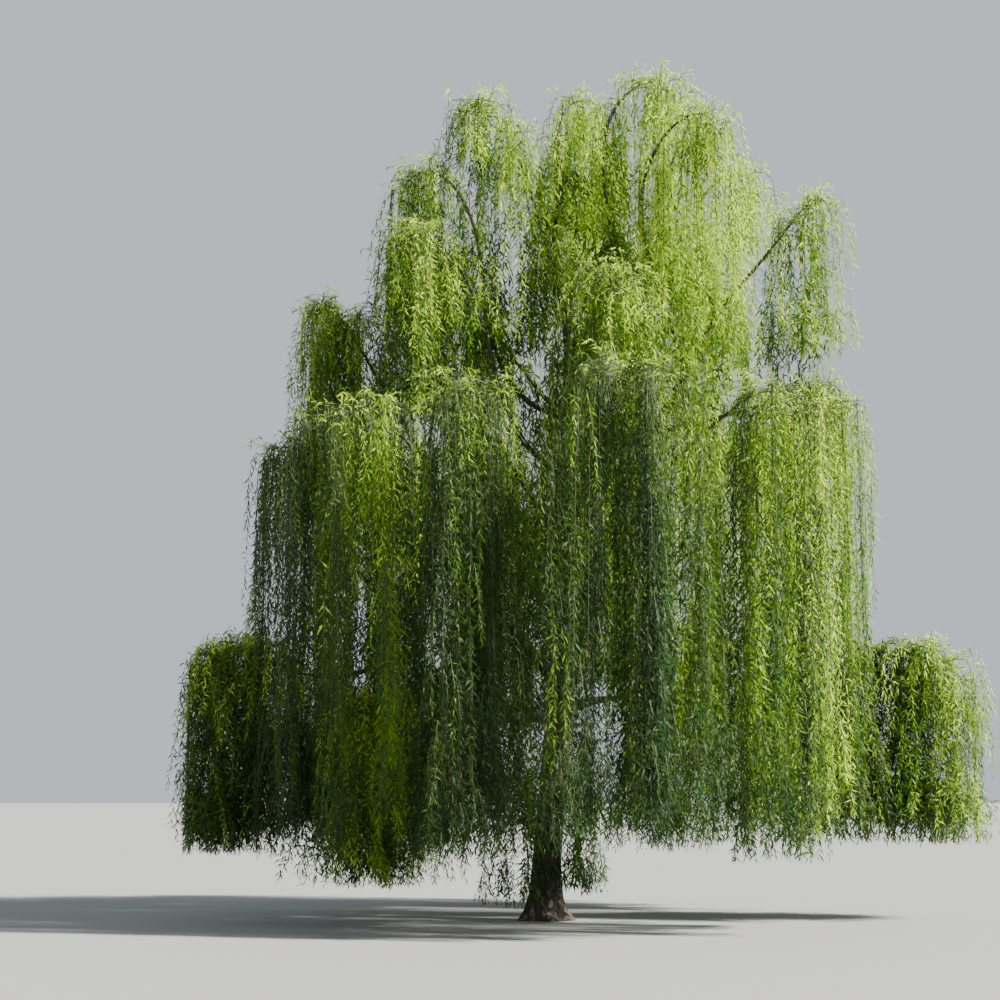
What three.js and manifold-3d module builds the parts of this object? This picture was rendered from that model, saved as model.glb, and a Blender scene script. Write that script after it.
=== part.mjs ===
// A weeping willow in full leaf, 9.4 m tall: a short leaning trunk with a root flare, four leaders, arching boughs,
// and the masses of foliage that hang from them. Millimetres, +Z up, the origin at the trunk's flat foot.
// Azimuths are degrees from +X towards +Y, and the side that is looked at faces -Y.
import * as THREE from "three";
import Module from "manifold-3d";

const wasm = await Module();
wasm.setup();

// Trunk
const FORK_HEIGHT = 2300;
const TRUNK_LEAN = 190;
const TRUNK_RADIUS = 165;
const TRUNK_WAIST = 0.06;
const TRUNK_UPRIGHT_TO = 0.3;
const TRUNK_BEND_AT = 0.66;
const TRUNK_BEND_LEAN = 0.55;
const FLARE_RADIUS = 300;
const FLARE_HEIGHT = 170;
const ROOT_LOBES = 5;
const LOBE_DEPTH = 0.16;
const LOBE_TURN = 0.6;
const TRUNK_SIDES = 20;
const TRUNK_STEPS = 10;

// Leaders and boughs
const LEADER_SIDES = 8;
const LEADER_STEPS = 10;
const LEADER_START = 260;
const MAIN_LEADER_TAPER = 0.42;
const LEADER_TAPER = 0.7;
const BOUGH_SIDES = 5;
const BOUGH_STEPS = 4;
const BOUGH_ROOT_SHARE = 0.55;
const BOUGH_ROOT_MIN = 27;
const BOUGH_TIP_RADIUS = 20;
const BOUGH_TIP_SHARE = 0.7;
const BOUGH_TAPER = 0.7;
const BOUGH_BOW = 0.38;
const BOUGH_OUT = 0.5;
const BOUGH_END = 0.22;
const BOUGH_END_RISE = 0.3;
const LEAST_CLIMB = 0.1;
const MOST_CLIMB = 0.95;

// Clearances: between a limb and what it grows from, and round the limbs and the foliage
const JOINT_GAP = 0.3;
const LIMB_CLEARANCE = 25;
const FOLIAGE_CLEARANCE = 12;

// A mass's stem starts at its bough's tip, rises to its crest and droops at its outer end
const STEM_SIDES = 4;
const STEM_STEPS = 4;
const STEM_TIP_RADIUS = 17;
const STEM_INNER_SHARE = 0.55;
const STEM_INNER_LEAST = 0.45;
const STEM_RISE_SHARE = 0.42;
const STEM_DROP_SHARE = 0.55;
const STEM_LEAD = 0.75;
const STEM_CREST_OUT = 0.3;
const STEM_CREST_UP = 0.12;
const TUFT_STEM_RADIUS = 24;
const TUFT_STEM_RISE = 0.5;

// Withes: three-sided twigs that leave the stem sideways, arch over and hang down to the hem
const WITHE_SIDES = 3;
const WITHE_RADIUS = 14;
const WITHE_TIP_RADIUS = 11;
const FIRST_WITHE = 0.14;
const WITHE_RANGE = 0.8;
const LEAST_SPREAD = 0.35;
const LEAST_LIFT = 0.1;
const LIFT_RANGE = 0.2;
const ARCH_AT = 0.55;
const ARCH_DROP = 0.5;
const FOOT_DRIFT = 60;
const HEM_BIAS = 1.5;
const TRIES_PER_WITHE = 6;
const ALONG_STEP = 0.7548776662;
const ALONG_START = 0.31;
const TURN_STEP = 0.569840291;
const TURN_START = 0.17;

// Blades: each stands for a spray of the narrow leaves, and is folded along its middle
const BLADE_SPREAD_ANGLE = 17;
const BLADE_WIDTH_SHARE = 0.19;
const BLADE_THICKNESS_SHARE = 0.014;
const BLADE_WIDEST_AT = 0.42;
const BLADES_END = 0.82;
const BLADE_JITTER = 0.4;
const BLADE_LENGTH = 0.95;
const BLADE_LENGTH_RANGE = 0.3;
const BLADE_BELOW_HEM = 250;
const GOLDEN_TURN = 2.399963;

// Seeds
const SEEDS_PER_MASS = 512;
const BLADE_SEEDS = 77777;
const SEED_STEP = 7919;
const FIRST_STATE = 104729;

// Two straight pieces count as parallel below this
const NEARLY_NOTHING = 1e-9;

// The four leaders. Each passes through the places given as [azimuth, reach, height].
const LEADERS = [
  {
    name: "leader_main",
    from: "trunk",
    share: 1,
    radius: TRUNK_RADIUS,
    tip: 24,
    through: [[10, 440, 3600], [8, 330, 5300], [0, 190, 6900], [170, 170, 8150]],
    cutBy: [],
  },
  {
    name: "leader_right",
    from: "leader_main",
    share: 0.12,
    radius: 92,
    tip: 21,
    through: [[-6, 760, 4200], [-4, 1330, 5500], [0, 1960, 6650], [0, 2520, 7350]],
    cutBy: ["trunk", "leader_main"],
  },
  {
    name: "leader_left",
    from: "leader_main",
    share: 0.03,
    radius: 88,
    tip: 22,
    through: [[200, 480, 3250], [188, 1000, 4300], [184, 1500, 5300], [182, 1980, 6150]],
    cutBy: ["trunk", "leader_main", "leader_right"],
  },
  {
    name: "leader_back",
    from: "leader_main",
    share: 0.08,
    radius: 85,
    tip: 22,
    through: [[80, 620, 3700], [78, 1020, 5000], [76, 1300, 6400], [74, 1460, 7750]],
    cutBy: ["trunk", "leader_main", "leader_left", "leader_right"],
  },
];

// The four kinds of mass: how many withes, how many blades on each, how their boughs bow, how wide round the tree
// they spread, how many degrees to each side of their azimuth they may fill, how unevenly their withes end, and
// whether they may have a bough
const PLUME = { withes: 6, blades: 3, bow: BOUGH_BOW, wide: 1, sector: 180, uneven: 0.6, bough: true };
const CURTAIN = { withes: 6, blades: 4, bow: BOUGH_BOW, wide: 2, sector: 19, uneven: 0.38, bough: true };
const SKIRT = { withes: 6, blades: 3, bow: 0.9, wide: 1, sector: 180, uneven: 0.38, bough: true };
const TUFT = { withes: 4, blades: 2, bow: 0, wide: 1, sector: 180, uneven: 0.38, bough: false };

const mass = (kind, name, from, share, azimuth, reach, top, hem, arch, spread, other = {}) =>
  ({ ...kind, name, from, share, azimuth, reach, top, hem, arch, spread, ...other });

// Each mass: the limb it grows from and the share along it, the azimuth and reach of its crest, the heights of its
// crest and hem, how far its stem arches, and how far its withes spread from the stem
const MASSES = [
  // Plumes at the top, on the leaders and on upright boughs
  mass(PLUME, "plume_west", "leader_main", 1, 216, 720, 9080, 6300, 900, 520),
  mass(PLUME, "plume_middle", "leader_main", 0.86, 63, 950, 9420, 7000, 700, 480),
  mass(PLUME, "plume_crest", "leader_main", 0.7, 6, 1270, 9430, 6300, 700, 470, { bow: 0.2 }),
  mass(PLUME, "plume_east", "leader_right", 0.66, -27.6, 1840, 8740, 6000, 700, 430),
  mass(PLUME, "plume_far_east", "leader_right", 0.8, 22.5, 2480, 8590, 6400, 700, 400),
  mass(PLUME, "plume_outer_east", "leader_right", 1, 0, 2930, 8150, 5500, 700, 290),
  mass(PLUME, "plume_far_west", "leader_main", 0.54, 151, 1560, 8570, 5700, 760, 450, { bow: 0.1 }),
  mass(PLUME, "plume_low_west", "leader_main", 0.42, 206, 1500, 7450, 4900, 760, 420, { bow: 0.15 }),
  mass(PLUME, "plume_outer_west", "leader_left", 1, 180, 2260, 6900, 4100, 760, 420),
  mass(PLUME, "plume_front", "leader_main", 0.46, -62, 1350, 6900, 4500, 900, 520),
  mass(PLUME, "plume_back", "leader_back", 1, 74, 1610, 8550, 5500, 900, 540),
  mass(PLUME, "plume_back_left", "leader_back", 0.6, 123, 2020, 7700, 4900, 900, 540),
  mass(PLUME, "plume_back_right", "leader_back", 0.7, 36, 2200, 7700, 4900, 900, 520),
  // The ring of long curtains that hang from the shoulders of the crown
  mass(CURTAIN, "curtain_right", "leader_right", 0.5, 0, 2780, 5950, 1000, 860, 480),
  mass(CURTAIN, "curtain_front_right", "leader_right", 0.3, -36, 2700, 5600, 850, 1000, 520),
  mass(CURTAIN, "curtain_front", "leader_main", 0.3, -72, 2450, 5650, 1050, 1000, 560),
  mass(CURTAIN, "curtain_front_left", "leader_main", 0.24, -108, 2350, 5550, 850, 1000, 560),
  mass(CURTAIN, "curtain_left_front", "leader_left", 0.4, -144, 2350, 5450, 850, 1000, 520),
  mass(CURTAIN, "curtain_left", "leader_left", 0.55, 180, 2480, 5300, 1100, 900, 500),
  mass(CURTAIN, "curtain_left_back", "leader_left", 0.28, 144, 2400, 5350, 950, 1000, 520),
  mass(CURTAIN, "curtain_back_left", "leader_back", 0.27, 108, 2450, 5550, 900, 1000, 560),
  mass(CURTAIN, "curtain_back_right", "leader_back", 0.36, 72, 2550, 5700, 1000, 1000, 560),
  mass(CURTAIN, "curtain_right_back", "leader_right", 0.2, 36, 2650, 5650, 900, 1000, 520),
  // Low skirts that reach out from under the curtains
  mass(SKIRT, "skirt_right", "leader_right", 0.1, 2, 3780, 3150, 950, 1400, 560),
  mass(SKIRT, "skirt_left", "leader_left", 0.2, 181, 3150, 3150, 850, 1300, 440),
  mass(SKIRT, "skirt_front_left", "trunk", 0.93, 208, 1900, 2450, 550, 900, 420),
  mass(SKIRT, "skirt_back_left", "trunk", 0.87, 122, 2300, 2800, 750, 1000, 480),
  mass(SKIRT, "skirt_back_right", "trunk", 0.9, 54, 2400, 2900, 800, 1000, 480),
  // Small tufts that grow straight from the trunk
  mass(TUFT, "tuft_front_left", "trunk", 0.7, 224, 760, 1500, 180, 420, 210),
  mass(TUFT, "tuft_front_right", "trunk", 0.64, 318, 560, 1400, 430, 360, 190),
];

const bark = () => new THREE.MeshStandardMaterial({ color: 0x4a4034, roughness: 0.92, metalness: 0 });
const leaf = () => new THREE.MeshStandardMaterial({ color: 0x5f8a26, roughness: 0.6, metalness: 0 });

const UP = new THREE.Vector3(0, 0, 1);
const FULL_TURN = 2 * Math.PI;
const fraction = (x) => x - Math.floor(x);

function outward(azimuth) {
  const angle = THREE.MathUtils.degToRad(azimuth);
  return new THREE.Vector3(Math.cos(angle), Math.sin(angle), 0);
}

const place = ([azimuth, reach, height]) => outward(azimuth).multiplyScalar(reach).setZ(height);

// A seeded generator of shares from 0 to 1, so that the tree grows the same each time
function dice(seed) {
  const multiplier = 16807;
  const modulus = 2147483647;
  let state = (seed * SEED_STEP + FIRST_STATE) % modulus;
  return () => {
    state = (state * multiplier) % modulus;
    return state / modulus;
  };
}

function geometryOf(positions, index) {
  return new THREE.BufferGeometry()
    .setAttribute("position", new THREE.Float32BufferAttribute(positions, 3))
    .setIndex(index);
}

function solidOf(geometry) {
  const mesh = new wasm.Mesh({
    numProp: 3,
    vertProperties: geometry.attributes.position.array,
    triVerts: new Uint32Array(geometry.index.array),
  });
  return new wasm.Manifold(mesh);
}

// Joins rings of vertices into the side of a closed body
function sideFaces(rings, sides) {
  const at = (ring, side) => ring * sides + (side % sides);
  const index = [];
  for (let ring = 0; ring + 1 < rings; ring++) {
    for (let side = 0; side < sides; side++) {
      index.push(at(ring, side), at(ring, side + 1), at(ring + 1, side + 1));
      index.push(at(ring, side), at(ring + 1, side + 1), at(ring + 1, side));
    }
  }
  return index;
}

// A closed tapering limb along a curve, with a flat face at each end
function limbGeometry(curve, radiusAt, sides, steps) {
  const frames = curve.computeFrenetFrames(steps, false);
  const positions = [];
  for (let ring = 0; ring <= steps; ring++) {
    const share = ring / steps;
    const centre = curve.getPointAt(share);
    for (let side = 0; side < sides; side++) {
      const angle = (side / sides) * FULL_TURN;
      const radius = radiusAt(share, angle);
      const across = frames.normals[ring].clone().multiplyScalar(radius * Math.cos(angle));
      across.addScaledVector(frames.binormals[ring], radius * Math.sin(angle));
      positions.push(...across.add(centre));
    }
  }
  positions.push(...curve.getPointAt(0), ...curve.getPointAt(1));
  const index = sideFaces(steps + 1, sides);
  const lastRing = steps * sides;
  const foot = lastRing + sides;
  const top = foot + 1;
  for (let side = 0; side < sides; side++) {
    const next = (side + 1) % sides;
    index.push(foot, next, side);
    index.push(top, lastRing + side, lastRing + next);
  }
  return geometryOf(positions, index);
}

// A twig along straight pieces, from a flat foot inside its stem to a pointed tip
function witheGeometry(path) {
  const positions = [];
  const rings = path.length - 1;
  const first = new THREE.Vector3().crossVectors(UP, path[1].clone().sub(path[0])).normalize();
  for (let ring = 0; ring < rings; ring++) {
    const before = path[Math.max(ring - 1, 0)];
    const tangent = path[ring + 1].clone().sub(before).normalize();
    first.addScaledVector(tangent, -first.dot(tangent)).normalize();
    const second = new THREE.Vector3().crossVectors(tangent, first);
    const radius = THREE.MathUtils.lerp(WITHE_RADIUS, WITHE_TIP_RADIUS, ring / rings);
    for (let side = 0; side < WITHE_SIDES; side++) {
      const angle = (side / WITHE_SIDES) * FULL_TURN;
      const vertex = path[ring].clone().addScaledVector(first, radius * Math.cos(angle));
      positions.push(...vertex.addScaledVector(second, radius * Math.sin(angle)));
    }
  }
  positions.push(...path[rings]);
  const index = sideFaces(rings, WITHE_SIDES);
  const lastRing = (rings - 1) * WITHE_SIDES;
  index.push(0, 2, 1);
  for (let side = 0; side < WITHE_SIDES; side++) {
    index.push(lastRing + side, lastRing + ((side + 1) % WITHE_SIDES), lastRing + WITHE_SIDES);
  }
  return geometryOf(positions, index);
}

// A narrow blade folded along its middle: its root and tip lie on the fold, and its two edges stand off it
function bladeGeometry(root, direction, face, length) {
  const across = new THREE.Vector3().crossVectors(direction, face).normalize();
  const off = new THREE.Vector3().crossVectors(across, direction).normalize();
  const middle = root.clone().addScaledVector(direction, length * BLADE_WIDEST_AT);
  middle.addScaledVector(off, length * BLADE_THICKNESS_SHARE);
  const half = (length * BLADE_WIDTH_SHARE) / 2;
  const tip = root.clone().addScaledVector(direction, length);
  const left = middle.clone().addScaledVector(across, half);
  const right = middle.clone().addScaledVector(across, -half);
  return geometryOf([...root, ...tip, ...left, ...right], [0, 1, 2, 0, 3, 1, 0, 2, 3, 1, 3, 2]);
}

// The point at a share of the length of a path of straight pieces
function pointOn(path, share) {
  const lengths = path.slice(1).map((point, i) => point.distanceTo(path[i]));
  let left = share * lengths.reduce((sum, length) => sum + length, 0);
  for (let i = 0; i < lengths.length; i++) {
    if (left <= lengths[i]) return path[i].clone().lerp(path[i + 1], left / lengths[i]);
    left -= lengths[i];
  }
  return path[path.length - 1].clone();
}

// The shortest distance between two straight pieces
function distanceBetween(a, b) {
  const along = a.to.clone().sub(a.from);
  const beside = b.to.clone().sub(b.from);
  const apart = a.from.clone().sub(b.from);
  const alongSquared = along.dot(along);
  const besideSquared = beside.dot(beside);
  const both = along.dot(beside);
  const apartAlong = along.dot(apart);
  const apartBeside = beside.dot(apart);
  const spread = alongSquared * besideSquared - both * both;
  const clamp = (x) => THREE.MathUtils.clamp(x, 0, 1);
  const nearest = (both * apartBeside - apartAlong * besideSquared) / spread;
  let s = spread > NEARLY_NOTHING ? clamp(nearest) : 0;
  let t = (both * s + apartBeside) / besideSquared;
  if (t < 0) s = clamp(-apartAlong / alongSquared);
  if (t > 1) s = clamp((both - apartAlong) / alongSquared);
  t = clamp(t);
  return apart.addScaledVector(along, s).addScaledVector(beside, -t).length();
}

// Everything grown so far, as straight round pieces that nothing new may touch. Blades join their own withe, and
// withes their own stem, so a piece may touch its own withe and its own mass's stem.
const grown = [];

function isClear(piece) {
  return grown.every((other) => {
    if (other.withe && other.withe === piece.withe) return true;
    if (other.owner === piece.owner && !other.withe) return true;
    const gap = other.isLimb ? LIMB_CLEARANCE : FOLIAGE_CLEARANCE;
    return distanceBetween(piece, other) > piece.radius + other.radius + gap;
  });
}

function piecesAlong(curve, radiusAt, steps, owner, isLimb) {
  const points = curve.getSpacedPoints(steps);
  return points.slice(1).map((to, i) => ({
    from: points[i],
    to,
    radius: radiusAt((i + 0.5) / steps, 0),
    owner,
    isLimb,
  }));
}

const willow = new THREE.Group();
const wood = new THREE.Group();
const foliage = new THREE.Group();
willow.add(wood, foliage);

// Adds a finished solid to a group as a mesh whose own origin is the place that it grows from
function addMesh(group, name, solid, origin, material) {
  const mesh = solid.getMesh();
  const geometry = new THREE.BufferGeometry()
    .setAttribute("position", new THREE.BufferAttribute(new Float32Array(mesh.vertProperties), 3))
    .setIndex(new THREE.BufferAttribute(mesh.triVerts, 1));
  geometry.translate(-origin.x, -origin.y, -origin.z);
  geometry.computeVertexNormals();
  const piece = new THREE.Mesh(geometry, material);
  piece.name = name;
  piece.position.copy(origin);
  group.add(piece);
}

// What is left of a solid outside others, without the scrap that they cut off
function cutClear(solid, others) {
  const rest = others.reduce((left, other) => left.subtract(other), solid);
  return rest.decompose().sort((a, b) => b.volume() - a.volume())[0];
}

const limbs = new Map();

// A limb is cut clear of each limb that it grows through, each taken with the joint's gap round it
function addLimb(name, curve, radiusAt, sides, steps, cutBy) {
  const gap = JOINT_GAP / Math.cos(Math.PI / sides);
  const wider = (share, angle) => radiusAt(share, angle) + gap;
  const around = solidOf(limbGeometry(curve, wider, sides, steps));
  const solid = solidOf(limbGeometry(curve, radiusAt, sides, steps));
  const cut = cutClear(solid, cutBy.map((other) => limbs.get(other).around));
  limbs.set(name, { curve, radiusAt, around, cutBy });
  grown.push(...piecesAlong(curve, radiusAt, steps * 2, name, true));
  addMesh(wood, name, cut, curve.getPointAt(0), bark());
}

// Trunk: round above, with a lobed flare at the ground
const trunkCurve = new THREE.CubicBezierCurve3(
  new THREE.Vector3(0, 0, 0),
  new THREE.Vector3(0, 0, FORK_HEIGHT * TRUNK_UPRIGHT_TO),
  new THREE.Vector3(TRUNK_LEAN * TRUNK_BEND_LEAN, 0, FORK_HEIGHT * TRUNK_BEND_AT),
  new THREE.Vector3(TRUNK_LEAN, 0, FORK_HEIGHT),
);

function trunkRadius(share, angle) {
  const flare = Math.exp(-(share * FORK_HEIGHT) / FLARE_HEIGHT);
  const lobe = 1 + LOBE_DEPTH * flare * Math.cos(ROOT_LOBES * angle + LOBE_TURN);
  const waist = 1 - TRUNK_WAIST * Math.sin(Math.PI * share);
  return (TRUNK_RADIUS * waist + (FLARE_RADIUS - TRUNK_RADIUS) * flare) * lobe;
}

addLimb("trunk", trunkCurve, trunkRadius, TRUNK_SIDES, TRUNK_STEPS, []);

// Leaders: the main one goes on from the trunk's top face, and the others leave its side
for (const { name, from, share, radius, tip, through, cutBy } of LEADERS) {
  const parent = limbs.get(from).curve;
  const goesOn = share === 1;
  const onward = parent.getTangentAt(share);
  const start = parent.getPointAt(share);
  const next = start.clone().addScaledVector(onward, LEADER_START);
  if (goesOn) start.addScaledVector(onward, JOINT_GAP);
  const points = goesOn ? [start, next, ...through.map(place)] : [start, ...through.map(place)];
  const curve = new THREE.CatmullRomCurve3(points, false, "centripetal");
  const taper = goesOn ? MAIN_LEADER_TAPER : LEADER_TAPER;
  const radiusAt = (along) => THREE.MathUtils.lerp(radius, tip, along ** taper);
  addLimb(name, curve, radiusAt, LEADER_SIDES, LEADER_STEPS, cutBy);
}

// A bough: up and out from its limb to the place where its mass begins
function addBough(body) {
  const parent = limbs.get(body.from);
  const out = outward(body.azimuth);
  const root = parent.curve.getPointAt(body.share);
  const inner = Math.max(body.reach - body.arch * STEM_INNER_SHARE, body.reach * STEM_INNER_LEAST);
  const tip = out.clone().multiplyScalar(inner).setZ(body.top - body.arch * STEM_RISE_SHARE);
  const span = root.distanceTo(tip);
  const level = tip.clone().sub(root).setZ(0).normalize();
  const climb = THREE.MathUtils.clamp((tip.z - root.z) / span, LEAST_CLIMB, MOST_CLIMB);
  const first = root.clone().addScaledVector(level, span * BOUGH_OUT * (1 - body.bow));
  first.addScaledVector(UP, span * body.bow * climb);
  const second = tip.clone().addScaledVector(out, -span * BOUGH_END);
  second.addScaledVector(UP, -span * BOUGH_END_RISE * climb);
  const curve = new THREE.CubicBezierCurve3(root, first, second, tip);
  const rootRadius = Math.max(BOUGH_ROOT_MIN, parent.radiusAt(body.share, 0) * BOUGH_ROOT_SHARE);
  const tipRadius = Math.min(BOUGH_TIP_RADIUS, rootRadius * BOUGH_TIP_SHARE);
  const radiusAt = (along) => THREE.MathUtils.lerp(rootRadius, tipRadius, along ** BOUGH_TAPER);
  const name = body.name + "_bough";
  addLimb(name, curve, radiusAt, BOUGH_SIDES, BOUGH_STEPS, [body.from, ...parent.cutBy]);
  return name;
}

// Where a mass's stem starts, which way it goes, and how thick it is there
function stemRoot(body) {
  const parent = limbs.get(body.from);
  if (!body.bough) {
    const direction = outward(body.azimuth).addScaledVector(UP, TUFT_STEM_RISE).normalize();
    return { start: parent.curve.getPointAt(body.share), direction, radius: TUFT_STEM_RADIUS };
  }
  const limb = body.share === 1 ? parent : limbs.get(addBough(body));
  const direction = limb.curve.getTangentAt(1);
  const start = limb.curve.getPointAt(1).addScaledVector(direction, JOINT_GAP);
  return { start, direction, radius: limb.radiusAt(1, 0) };
}

const stems = new Map();

for (const body of MASSES) {
  const { start, direction, radius } = stemRoot(body);
  const out = outward(body.azimuth);
  const crest = out.clone().multiplyScalar(body.reach).setZ(body.top);
  const over = crest.clone().addScaledVector(out, body.arch * STEM_CREST_OUT);
  over.z += body.arch * STEM_CREST_UP;
  const end = crest.clone().addScaledVector(out, body.arch * (1 - STEM_INNER_SHARE));
  end.z -= body.arch * STEM_DROP_SHARE;
  const lead = start.clone().addScaledVector(direction, start.distanceTo(crest) * STEM_LEAD);
  const curve = new THREE.CubicBezierCurve3(start, lead, over, end);
  const radiusAt = (along) => THREE.MathUtils.lerp(radius, STEM_TIP_RADIUS, along);
  stems.set(body.name, { curve, radiusAt, points: curve.getSpacedPoints(STEM_STEPS) });
  grown.push(...piecesAlong(curve, radiusAt, STEM_STEPS, body.name, false));
}

// A withe's path: sideways from the stem in a small arch, then down to its end near the hem
function withePath(body, number, seed) {
  const chance = dice(seed * SEEDS_PER_MASS + number);
  const along = FIRST_WITHE + WITHE_RANGE * fraction(ALONG_START + number * ALONG_STEP);
  const turn = FULL_TURN * fraction(TURN_START + number * TURN_STEP);
  const root = pointOn(stems.get(body.name).points, along);
  const side = outward(body.azimuth).multiplyScalar(Math.cos(turn));
  side.addScaledVector(outward(body.azimuth + 90), body.wide * Math.sin(turn));
  const away = body.spread * THREE.MathUtils.lerp(LEAST_SPREAD, 1, Math.sqrt(chance()));
  const lift = away * (LEAST_LIFT + LIFT_RANGE * chance());
  const over = root.clone().addScaledVector(side, away * ARCH_AT);
  over.z = Math.min(root.z + lift, body.top);
  const edge = root.clone().addScaledVector(side, away);
  edge.z = over.z - away * ARCH_DROP;
  const foot = edge.clone().addScaledVector(side, FOOT_DRIFT * chance());
  foot.z = body.hem + (edge.z - body.hem) * body.uneven * chance() ** HEM_BIAS;
  return [root, over, edge, foot];
}

// A mass keeps to the sector round its own azimuth
function isInSector(body, path) {
  const foot = path[path.length - 1];
  const turn = THREE.MathUtils.radToDeg(Math.atan2(foot.y, foot.x)) - body.azimuth;
  return Math.abs(THREE.MathUtils.euclideanModulo(turn + 180, 360) - 180) <= body.sector;
}

// The blades of one withe, each turned from the last and leaning out from the hanging twig
function bladesOf(body, path, withe, seed) {
  const chance = dice(seed);
  const [edge, foot] = path.slice(2);
  const hang = edge.distanceTo(foot);
  const blades = [];
  for (let number = 0; number < body.blades; number++) {
    const down = (BLADES_END * (number + BLADE_JITTER * chance())) / body.blades;
    const length = (hang / body.blades) * (BLADE_LENGTH + BLADE_LENGTH_RANGE * chance());
    const turn = number * GOLDEN_TURN + FULL_TURN * chance();
    const root = edge.clone().lerp(foot, down);
    const side = new THREE.Vector3(Math.cos(turn), Math.sin(turn), 0);
    const hinge = new THREE.Vector3().crossVectors(side, UP);
    const lean = THREE.MathUtils.degToRad(BLADE_SPREAD_ANGLE);
    const direction = UP.clone().negate().applyAxisAngle(hinge, lean);
    const tip = root.clone().addScaledVector(direction, length);
    const radius = (length * BLADE_WIDTH_SHARE) / 2;
    const piece = { from: root, to: tip, radius, owner: body.name, withe };
    if (tip.z < body.hem - BLADE_BELOW_HEM || !isClear(piece)) continue;
    grown.push(piece);
    blades.push(solidOf(bladeGeometry(root, direction, side, length)));
  }
  return blades;
}

// Masses: a withe or a blade that would leave the mass's space or touch something is left out
MASSES.forEach((body, seed) => {
  const stem = stems.get(body.name);
  const solids = [solidOf(limbGeometry(stem.curve, stem.radiusAt, STEM_SIDES, STEM_STEPS))];
  let made = 0;
  for (let number = 0; made < body.withes && number < body.withes * TRIES_PER_WITHE; number++) {
    const path = withePath(body, number, seed);
    const withe = body.name + number;
    const pieces = path.slice(1).map((to, i) => ({
      from: path[i],
      to,
      radius: WITHE_RADIUS,
      owner: body.name,
      withe,
    }));
    if (!isInSector(body, path) || !pieces.every(isClear)) continue;
    grown.push(...pieces);
    solids.push(solidOf(witheGeometry(path)));
    solids.push(...bladesOf(body, path, withe, seed * SEEDS_PER_MASS + number + BLADE_SEEDS));
    made++;
  }
  const joined = wasm.Manifold.union(solids);
  const whole = cutClear(joined, body.bough ? [] : [limbs.get(body.from).around]);
  addMesh(foliage, body.name, whole, stem.curve.getPointAt(0), leaf());
});

export default willow;
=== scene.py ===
# %% [markdown]
# # A weeping willow in full leaf
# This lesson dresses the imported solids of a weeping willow: bark for the trunk and limbs, and hundreds of
# thousands of narrow leaves on hanging withes for the masses of foliage. The solids are loaded first, as a
# fixed frame, and everything made here stands in the same place and at the same size. Lengths are in
# metres.

import math

import bpy
import numpy as np
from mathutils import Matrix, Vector, kdtree, noise


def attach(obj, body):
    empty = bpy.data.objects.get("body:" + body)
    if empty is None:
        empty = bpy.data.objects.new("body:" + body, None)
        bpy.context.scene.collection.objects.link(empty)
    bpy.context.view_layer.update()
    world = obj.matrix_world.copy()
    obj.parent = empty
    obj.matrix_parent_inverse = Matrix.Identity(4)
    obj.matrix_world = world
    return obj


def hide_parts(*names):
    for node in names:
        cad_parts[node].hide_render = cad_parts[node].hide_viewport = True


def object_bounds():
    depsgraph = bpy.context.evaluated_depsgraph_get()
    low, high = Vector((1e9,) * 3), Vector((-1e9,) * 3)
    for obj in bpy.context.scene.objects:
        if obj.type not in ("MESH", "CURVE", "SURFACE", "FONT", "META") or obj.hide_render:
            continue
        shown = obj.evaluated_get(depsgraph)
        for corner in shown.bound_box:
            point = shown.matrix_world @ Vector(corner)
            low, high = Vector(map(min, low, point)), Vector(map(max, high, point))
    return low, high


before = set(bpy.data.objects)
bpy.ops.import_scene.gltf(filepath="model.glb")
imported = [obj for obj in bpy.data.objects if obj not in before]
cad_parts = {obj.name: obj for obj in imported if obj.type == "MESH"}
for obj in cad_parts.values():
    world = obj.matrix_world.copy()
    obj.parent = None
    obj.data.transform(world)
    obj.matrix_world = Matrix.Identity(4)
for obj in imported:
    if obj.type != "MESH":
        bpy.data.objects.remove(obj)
cad_low, cad_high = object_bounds()
node_names = sorted(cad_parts)
print(len(node_names), "solids", [round(v, 2) for v in (*cad_low, *cad_high)])

# %% [markdown]
# ## The camera
# A tree is looked at from eye height and from far enough away to take it all in, so the camera stands 23 m
# off and tilts up a little. A long lens keeps the upright trunk upright. The tilt is given by how far the
# horizon lies under the middle of the picture.

# %% Place the camera
PICTURE = 1000
FOCAL_PIXELS = 2100
SENSOR = 36.0
HORIZON_BELOW_MIDDLE = 270
EYE = (-0.484, -23.0, 1.6)
FARTHEST_SEEN = 300

bpy.ops.object.select_all(action="DESELECT")
tilt = math.atan(HORIZON_BELOW_MIDDLE / FOCAL_PIXELS)
bpy.ops.object.camera_add(location=EYE, rotation=(math.pi / 2 + tilt, 0, 0))
camera = bpy.context.object
camera.data.sensor_width = SENSOR
camera.data.lens = FOCAL_PIXELS * SENSOR / PICTURE
camera.data.clip_end = FARTHEST_SEEN
bpy.context.scene.camera = camera
print("lens", round(camera.data.lens, 1), "tilt", round(math.degrees(tilt), 2))

# %% [markdown]
# ## Floor and light
# The tree stands on a plain pale floor. One soft sun high on the right gives the crown its lit side and its
# shaded side, and it shines through the thin leaves. A pale sky fills the shadows from all round.

# %% Lay the floor
FLOOR_SIZE, FLOOR_SQUARES = 160, 8
FLOOR_PLACE = (0, 0, -0.002)
FLOOR_COLOUR = (0.21, 0.215, 0.205)


def new_material(name, roughness, colour=None):
    """A material, its surface shader, its nodes and its links. Without a colour, nodes are to give it one."""
    material = bpy.data.materials.new(name)
    material.use_nodes = True
    nodes, links = material.node_tree.nodes, material.node_tree.links
    shader = nodes["Principled BSDF"]
    shader.inputs["Roughness"].default_value = roughness
    if colour:
        shader.inputs["Base Color"].default_value = (*colour, 1)
    return material, shader, nodes, links


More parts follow.
